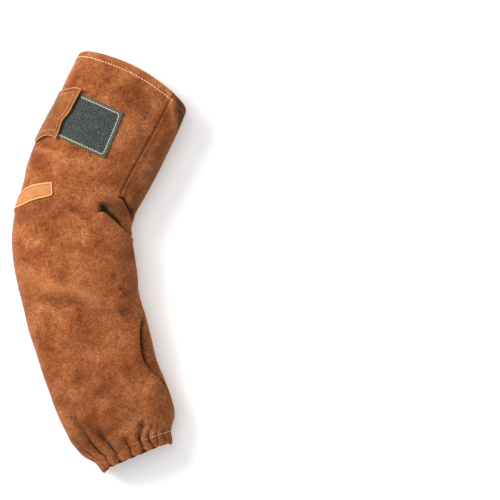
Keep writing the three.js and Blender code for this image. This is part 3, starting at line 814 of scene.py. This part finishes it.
# %% Start a surface
def start_surface(name, roughness, sheen=0.0, specular=0.5):
    """A new material with its shader, and the object's own space for its patterns."""
    material = bpy.data.materials.new(name)
    material.use_nodes = True
    nodes, links = material.node_tree.nodes, material.node_tree.links
    shader = nodes["Principled BSDF"]
    shader.inputs["Roughness"].default_value = roughness
    shader.inputs["Sheen Weight"].default_value = sheen
    shader.inputs["Specular IOR Level"].default_value = specular
    place = nodes.new("ShaderNodeTexCoord").outputs["Object"]
    return material, nodes, links, shader, place


def add_noise(nodes, links, place, scale, detail, roughness=0.55, distortion=0.0):
    """Random soft clouds; a larger scale makes smaller ones."""
    grain = nodes.new("ShaderNodeTexNoise")
    grain.inputs["Scale"].default_value = scale
    grain.inputs["Detail"].default_value = detail
    grain.inputs["Roughness"].default_value = roughness
    grain.inputs["Distortion"].default_value = distortion
    links.new(place, grain.inputs["Vector"])
    return grain.outputs["Fac"]


def add_ramp(nodes, links, source, *stops):
    """Colours by the value of the source; each stop is a value and its colour."""
    ramp = nodes.new("ShaderNodeValToRGB")
    bar = ramp.color_ramp
    while len(bar.elements) < len(stops):
        bar.elements.new(0.5)
    for element, (position, colour) in zip(bar.elements, stops):
        element.position = position
        element.color = (*colour, 1.0)
    links.new(source, ramp.inputs["Fac"])
    return ramp.outputs["Color"]


def set_or_link(links, socket, value):
    """Give a socket a plain value, or the output of another node."""
    if isinstance(value, bpy.types.NodeSocket):
        links.new(value, socket)
    else:
        socket.default_value = value


def add_mix(nodes, links, share, first, second, mode="MIX"):
    """The first colour, changed to or multiplied by the second as far as the share says."""
    mix = nodes.new("ShaderNodeMix")
    mix.data_type = "RGBA"
    mix.blend_type = mode
    for socket, value in ((mix.inputs[0], share), (mix.inputs[6], first), (mix.inputs[7], second)):
        set_or_link(links, socket, value)
    return mix.outputs[2]


print("ways to build a surface: noise, ramp and mix")

# %% Values and bumps for a surface
def add_math(nodes, links, operation, first, second, clamp=False):
    """One sum of two values; clamp holds the result from 0 to 1."""
    step = nodes.new("ShaderNodeMath")
    step.operation = operation
    step.use_clamp = clamp
    set_or_link(links, step.inputs[0], first)
    set_or_link(links, step.inputs[1], second)
    return step.outputs[0]


def add_band(nodes, links, value, low, high):
    """0 below low and 1 above high, with a soft step between."""
    step = nodes.new("ShaderNodeMapRange")
    step.interpolation_type = "SMOOTHSTEP"
    step.inputs["From Min"].default_value = low
    step.inputs["From Max"].default_value = high
    links.new(value, step.inputs["Value"])
    return step.outputs["Result"]


def add_rim(nodes, links, value, low, high):
    """1 below low and 0 above high, with a soft step between."""
    return add_math(nodes, links, "SUBTRACT", 1.0, add_band(nodes, links, value, low, high))


def add_bump(nodes, links, shader, height, distance, strength, before=None):
    """Light the surface as if it had this height, on top of the bump before it."""
    bump = nodes.new("ShaderNodeBump")
    bump.inputs["Distance"].default_value = distance
    bump.inputs["Strength"].default_value = strength
    links.new(height, bump.inputs["Height"])
    if before is not None:
        links.new(before, bump.inputs["Normal"])
    links.new(bump.outputs["Normal"], shader.inputs["Normal"])
    return bump.outputs["Normal"]


def read_point_value(nodes, name):
    """A value that was stored on the points of the mesh."""
    reader = nodes.new("ShaderNodeAttribute")
    reader.attribute_name = name
    return reader.outputs["Fac"]


def linear(red, green, blue):
    """A colour as seen on a screen, 0 to 255, as the light values that Blender mixes."""
    parts = (red / 255, green / 255, blue / 255)
    return tuple(part / 12.92 if part <= 0.04045 else ((part + 0.055) / 1.055) ** 2.4 for part in parts)


def opaque(red, green, blue):
    """The same for a socket that also wants how solid the colour is."""
    return (*linear(red, green, blue), 1.0)


print("rust suede in linear light:", [round(part, 3) for part in linear(170, 103, 64)])

# %% Rust suede
suede, nodes, links, shader, place = start_surface("rust_suede_nap", 0.93, sheen=0.24, specular=0.2)
shader.inputs["Sheen Roughness"].default_value = 0.55
shader.inputs["Sheen Tint"].default_value = opaque(236, 176, 128)
clouds = add_noise(nodes, links, place, scale=26.0, detail=5.0, roughness=0.6, distortion=0.4)
mottle = add_noise(nodes, links, place, scale=190.0, detail=5.0, roughness=0.7, distortion=0.3)
fibres = add_noise(nodes, links, place, scale=480.0, detail=4.0, roughness=0.75, distortion=0.5)
base = add_ramp(nodes, links, clouds, (0.32, linear(121, 60, 26)), (0.5, linear(149, 84, 45)),
                (0.68, linear(173, 107, 67)))
spots = add_ramp(nodes, links, mottle, (0.3, (0.62, 0.54, 0.43)), (0.5, (1.0, 1.0, 0.98)),
                 (0.7, (1.34, 1.39, 1.44)))
grains = add_ramp(nodes, links, fibres, (0.3, (0.43, 0.37, 0.28)), (0.5, (1.0, 1.0, 0.98)),
                  (0.7, (1.68, 1.74, 1.8)))
colour = add_mix(nodes, links, 0.85, base, spots, "MULTIPLY")
colour = add_mix(nodes, links, 1.0, colour, grains, "MULTIPLY")
print("three sizes of nap are mixed into", suede.name)

# %% Painted shade in the folds, painted highlights on the ridges, and paler ends of the suede
fold = read_point_value(nodes, "fold")
# painted shade: the fold value darkens creases, hollows and the side turned from the light
painted_fold_shade = add_math(nodes, links, "MULTIPLY", fold, 0.94, clamp=True)
colour = add_mix(nodes, links, painted_fold_shade, colour, opaque(30, 12, 4))
# painted highlight: where the fold value is under 0, lit lips and ridges are painted paler
painted_ridge_highlight = add_math(nodes, links, "MULTIPLY", fold, -1.0, clamp=True)
colour = add_mix(nodes, links, painted_ridge_highlight, colour, opaque(214, 140, 92))
in_seam = add_math(nodes, links, "MULTIPLY", read_point_value(nodes, "seam"), 0.6)
colour = add_mix(nodes, links, in_seam, colour, opaque(88, 42, 18))
# paler within a few millimetres of the folded ends of the hem and cuff
on_edge = add_math(nodes, links, "MULTIPLY", read_point_value(nodes, "edge"), 0.35)
colour = add_mix(nodes, links, on_edge, colour, opaque(196, 132, 88))
links.new(colour, shader.inputs["Base Color"])
coarse = add_bump(nodes, links, shader, mottle, 0.0009, 0.55)
add_bump(nodes, links, shader, fibres, 0.0004, 0.6, before=coarse)
tube.data.materials.append(suede)
print("suede nodes:", len(nodes))

# %% [markdown]
# ## Tab and label
#
# The tab is the same leather with its nap rubbed flat, so it gets less contrast and a paler worn border.
# The label is a smoother tan leather whose border was pressed with a tool. The pressed line could be cut
# into its mesh, but it is under 1 mm deep, so a bump shows it, with a painted highlight on the raised
# edge and painted shade in the groove. Both read how far a point lies from the edge of the piece.

# %% Tab leather and its cut edge
tab_face, nodes, links, shader, place = start_surface("tab_leather_face", 0.82, sheen=0.15, specular=0.3)
clouds = add_noise(nodes, links, place, scale=60.0, detail=5.0, roughness=0.6, distortion=0.5)
fibres = add_noise(nodes, links, place, scale=480.0, detail=4.0, roughness=0.7)
base = add_ramp(nodes, links, clouds, (0.3, linear(106, 54, 16)), (0.52, linear(134, 73, 27)),
                (0.7, linear(156, 92, 40)))
grains = add_ramp(nodes, links, fibres, (0.3, (0.62, 0.58, 0.52)), (0.5, (1.0, 1.0, 1.0)),
                  (0.7, (1.35, 1.35, 1.35)))
colour = add_mix(nodes, links, 0.9, base, grains, "MULTIPLY")
pale_rim = add_rim(nodes, links, read_point_value(nodes, "inset_mm"), 0.35, 1.35)
colour = add_mix(nodes, links, pale_rim, colour, opaque(206, 146, 92))
links.new(colour, shader.inputs["Base Color"])
add_bump(nodes, links, shader, fibres, 0.0005, 0.6)
closing_tab.data.materials.append(tab_face)


def cut_edge(name, roughness, grain_scale, dark, light):
    """The pale raw edge where a knife has cut the leather."""
    material, nodes, links, shader, place = start_surface(name, roughness)
    fibres = add_noise(nodes, links, place, scale=grain_scale, detail=2.0)
    links.new(add_ramp(nodes, links, fibres, (0.3, dark), (0.7, light)), shader.inputs["Base Color"])
    return material


tab_edge = cut_edge("tab_cut_edge", 0.8, 900.0, linear(190, 128, 76), linear(224, 166, 108))
closing_tab.data.materials.append(tab_edge)
print("the tab has", len(closing_tab.data.materials), "surfaces")

# %% Label leather, with a painted highlight on its raised edge and painted shade in its groove
label_face, nodes, links, shader, place = start_surface("label_leather_face", 0.55, specular=0.45)
clouds = add_noise(nodes, links, place, scale=90.0, detail=4.0, roughness=0.6, distortion=0.3)
pores = add_noise(nodes, links, place, scale=900.0, detail=2.0, roughness=0.5)
base = add_ramp(nodes, links, clouds, (0.3, linear(170, 100, 44)), (0.7, linear(198, 126, 60)))
inset = read_point_value(nodes, "inset_mm")
raised_edge = add_rim(nodes, links, inset, 1.5, 2.5)
# the raised edge is painted paler as a highlight
colour = add_mix(nodes, links, raised_edge, base, opaque(232, 164, 98))
# the groove lies just inside the raised edge and is painted darker as shade
groove = add_math(nodes, links, "MULTIPLY", add_band(nodes, links, inset, 1.9, 2.7),
                  add_rim(nodes, links, inset, 2.9, 3.7))
groove_painted_shade = add_math(nodes, links, "MULTIPLY", groove, 0.5)
colour = add_mix(nodes, links, groove_painted_shade, colour, opaque(150, 78, 34))
links.new(colour, shader.inputs["Base Color"])
edge_bump = add_bump(nodes, links, shader, raised_edge, 0.0006, 1.0)
add_bump(nodes, links, shader, pores, 0.0002, 0.5, before=edge_bump)
label_edge = cut_edge("label_cut_edge", 0.7, 800.0, linear(206, 138, 74), linear(236, 176, 108))
label.data.materials.append(label_face)
label.data.materials.append(label_edge)
print("the label has", len(label.data.materials), "surfaces")

# %% [markdown]
# ## Fastener fabrics and threads
#
# The fastener's pile and hooks are too fine and too many to model at this size. A tangled noise stands
# for the pile, and the cells of a Voronoi texture stand for the hooks. A stitch shows the twist of its
# thread, which is a wave texture.

# %% Fastener fabrics
pile_face, nodes, links, shader, place = start_surface("charcoal_loop_pile", 0.95, sheen=0.15, specular=0.25)
pile = add_noise(nodes, links, place, scale=620.0, detail=4.0, roughness=0.75, distortion=1.2)
patches = add_noise(nodes, links, place, scale=110.0, detail=3.0, roughness=0.6)
base = add_ramp(nodes, links, pile, (0.3, linear(24, 28, 30)), (0.5, linear(58, 62, 62)),
                (0.7, linear(116, 122, 112)))
shade = add_ramp(nodes, links, patches, (0.3, (0.75, 0.76, 0.8)), (0.7, (1.15, 1.15, 1.1)))
colour = add_mix(nodes, links, 0.9, base, shade, "MULTIPLY")
selvedge = add_rim(nodes, links, read_point_value(nodes, "inset_mm"), 2.6, 4.2)
selvedge_share = add_math(nodes, links, "MULTIPLY", selvedge, 0.6)
colour = add_mix(nodes, links, selvedge_share, colour, opaque(96, 106, 88))
links.new(colour, shader.inputs["Base Color"])
add_bump(nodes, links, shader, pile, 0.0009, 0.9)
loop_patch.data.materials.append(pile_face)

hook_face, nodes, links, shader, place = start_surface("dark_hook_tape", 0.7)
hooks = nodes.new("ShaderNodeTexVoronoi")
hooks.inputs["Scale"].default_value = 800.0
links.new(place, hooks.inputs["Vector"])
hook_height = hooks.outputs["Distance"]
colour = add_ramp(nodes, links, hook_height, (0.1, linear(40, 39, 36)), (0.7, linear(12, 12, 12)))
links.new(colour, shader.inputs["Base Color"])
add_bump(nodes, links, shader, hook_height, -0.0006, 0.8)
hook_patch.data.materials.append(hook_face)
print("fastener surfaces:", pile_face.name, "and", hook_face.name)

# %% Threads
def thread_surface(name, light, dark):
    """Twisted thread: fine dark and light stripes."""
    material, nodes, links, shader, place = start_surface(name, 0.6)
    twist = nodes.new("ShaderNodeTexWave")
    twist.inputs["Scale"].default_value = 900.0
    twist.inputs["Distortion"].default_value = 1.0
    links.new(place, twist.inputs["Vector"])
    stripes = twist.outputs["Fac"]
    links.new(add_ramp(nodes, links, stripes, (0.1, dark), (0.6, light)), shader.inputs["Base Color"])
    add_bump(nodes, links, shader, stripes, 0.0001, 0.4)
    return material


cream = thread_surface("cream_thread", linear(250, 222, 178), linear(214, 168, 120))
pale_green = thread_surface("pale_patch_thread", linear(236, 238, 206), linear(186, 192, 156))
amber = thread_surface("amber_tab_thread", linear(236, 176, 116), linear(186, 120, 70))
for row, thread, slot in ((hem_row, cream, "rust_suede"), (cuff_row, cream, "rust_suede"),
                          (patch_row, pale_green, "loop_fabric"), (tab_row, amber, "tab_leather")):
    row.data.materials.append(thread)
print("surfaces:", len(bpy.data.materials))

# %% [markdown]
# ## Table, light and camera
#
# The photograph was taken from straight above, so the camera looks down. It stands far off with a long
# lens, which keeps the sleeve's sides from spreading. One large soft light comes from the upper left and
# leaves the inner side of the arm in shade, and a weaker one fills the rest.

# %% Table
WHITE = (1.0, 1.0, 1.0, 1.0)
TABLE_HALF = 3.0
TABLE_GLOW = 0.22
bm = bmesh.new()
bmesh.ops.create_grid(bm, x_segments=1, y_segments=1, size=TABLE_HALF)
table = new_object("pale_table", bm)
paper, nodes, links, shader, place = start_surface("pale_paper", 0.9, specular=0.1)
fleck = add_noise(nodes, links, place, scale=3.0, detail=2.0)
colour = add_ramp(nodes, links, fleck, (0.3, (0.93, 0.93, 0.93)), (0.7, (0.95, 0.95, 0.95)))
links.new(colour, shader.inputs["Base Color"])
shader.inputs["Emission Color"].default_value = WHITE
shader.inputs["Emission Strength"].default_value = TABLE_GLOW
table.data.materials.append(paper)
print("table is", 2 * TABLE_HALF, "m wide")

# %% Lights
ROOM_LIGHT = 0.34


def add_light(name, size, power, place, colour=(1.0, 1.0, 1.0)):
    """A round soft light that looks at the middle of the sleeve."""
    light = bpy.data.lights.new(name, "AREA")
    light.shape = "DISK"
    light.size = size
    light.energy = power
    light.color = colour
    lamp = bpy.data.objects.new(name, light)
    lamp.location = place
    lamp.rotation_euler = (-Vector(place)).to_track_quat("-Z", "Y").to_euler()
    bpy.context.scene.collection.objects.link(lamp)


add_light("window", 1.3, 58.0, (-1.5, 1.0, 1.5), (1.0, 0.985, 0.96))
add_light("overhead", 2.2, 31.0, (-0.3, 0.3, 2.8))
world = bpy.data.worlds.new("soft_room")
world.use_nodes = True
sky = world.node_tree.nodes["Background"]
sky.inputs["Color"].default_value = WHITE
sky.inputs["Strength"].default_value = ROOM_LIGHT
bpy.context.scene.world = world
bpy.context.scene.view_settings.view_transform = "Standard"
print("lights:", [light.name for light in bpy.data.lights])

# %% Camera
FRAME_CENTRE = (0.196, 0.0155)
FRAME_WIDTH = 0.650
CAMERA_HEIGHT = 6.0
OUTLINE_HEIGHT = 0.035
SENSOR_WIDTH = 36.0
camera_data = bpy.data.cameras.new("overhead")
camera_data.sensor_width = SENSOR_WIDTH
camera_data.lens = SENSOR_WIDTH * (CAMERA_HEIGHT - OUTLINE_HEIGHT) / FRAME_WIDTH
camera_data.clip_end = 100.0
camera = bpy.data.objects.new("overhead", camera_data)
camera.location = (*FRAME_CENTRE, CAMERA_HEIGHT)
bpy.context.scene.collection.objects.link(camera)
bpy.context.scene.camera = camera
print("lens in mm:", round(camera_data.lens, 1))
